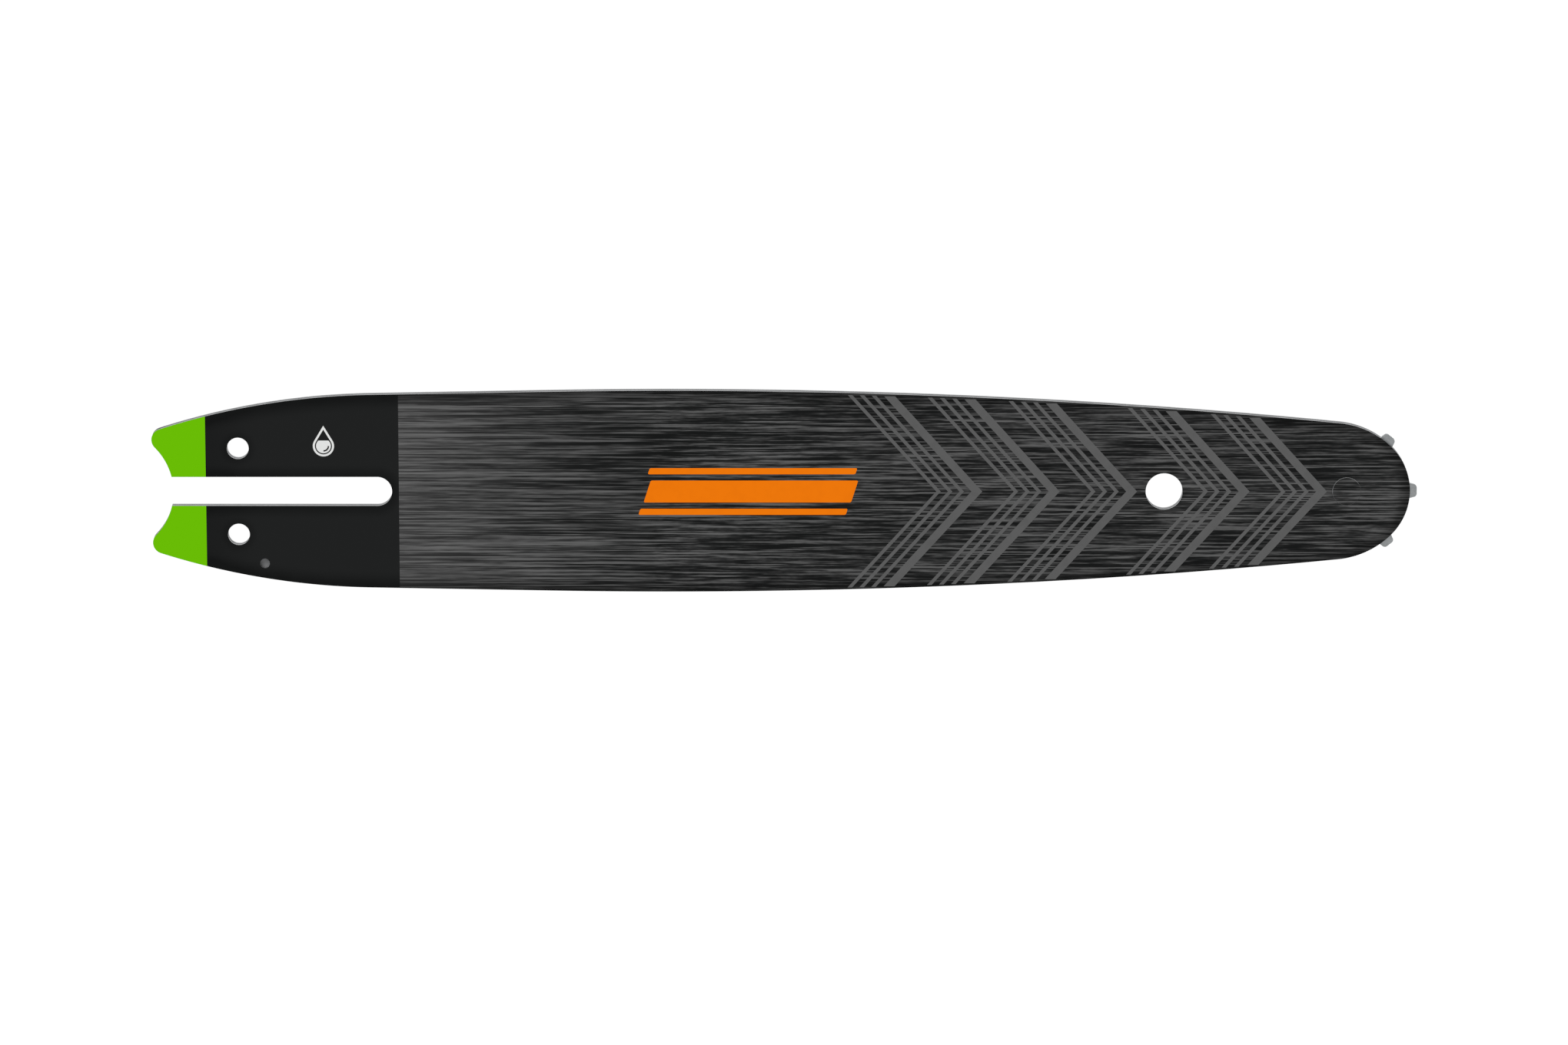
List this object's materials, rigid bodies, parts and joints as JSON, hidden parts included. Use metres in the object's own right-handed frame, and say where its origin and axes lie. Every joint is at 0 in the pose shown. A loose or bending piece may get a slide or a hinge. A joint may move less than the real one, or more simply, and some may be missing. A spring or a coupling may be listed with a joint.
{
  "type": "chainsaw guide bar",
  "caption": "Laminated chainsaw guide bar with an open stud slot and tension holes at the tail, a chain groove along both rails and a roller-borne sprocket in the nose.",
  "frame": {"origin": "centre of the stud slot's round end, on the back face that the bar lies on", "axes": "+X along the bar to the nose, +Y across it, +Z out of the front face"},
  "size_m": [0.3596, 0.0584, 0.0032],
  "materials": {
    "printed_plate": "satin streaked print with a black band and a green tail, bare at the edges",
    "core_steel": "rolled",
    "sprocket_steel": "tumbled",
    "bearing_steel": "ground"
  },
  "bodies": {
    "bar": {"front_side_plate": "printed_plate", "back_side_plate": "printed_plate", "core_plate": "core_steel", "hub_rivet": "printed_plate"},
    "sprocket": {"nose_sprocket": "sprocket_steel"},
    "roller_set": {"bearing_roller_01": "bearing_steel", "bearing_roller_02": "bearing_steel", "bearing_roller_03": "bearing_steel", "bearing_roller_04": "bearing_steel", "bearing_roller_05": "bearing_steel", "bearing_roller_06": "bearing_steel", "bearing_roller_07": "bearing_steel", "bearing_roller_08": "bearing_steel", "bearing_roller_09": "bearing_steel", "bearing_roller_10": "bearing_steel", "bearing_roller_11": "bearing_steel", "bearing_roller_12": "bearing_steel", "bearing_roller_13": "bearing_steel", "bearing_roller_14": "bearing_steel", "bearing_roller_15": "bearing_steel", "bearing_roller_16": "bearing_steel"}
  },
  "joints": [
    {"name": "sprocket_spin", "type": "hinge", "parent": "bar", "child": "sprocket", "pos_m": [0.2756, 0, 0.0016], "axis": [0, 0, 1], "continuous": true},
    {"name": "roller_orbit", "type": "hinge", "parent": "bar", "child": "roller_set", "pos_m": [0.2756, 0, 0.0016], "axis": [0, 0, 1], "continuous": true}
  ],
  "couplings": [
    {"joint": "roller_orbit", "follows": "sprocket_spin", "ratio": 0.59502}
  ]
}
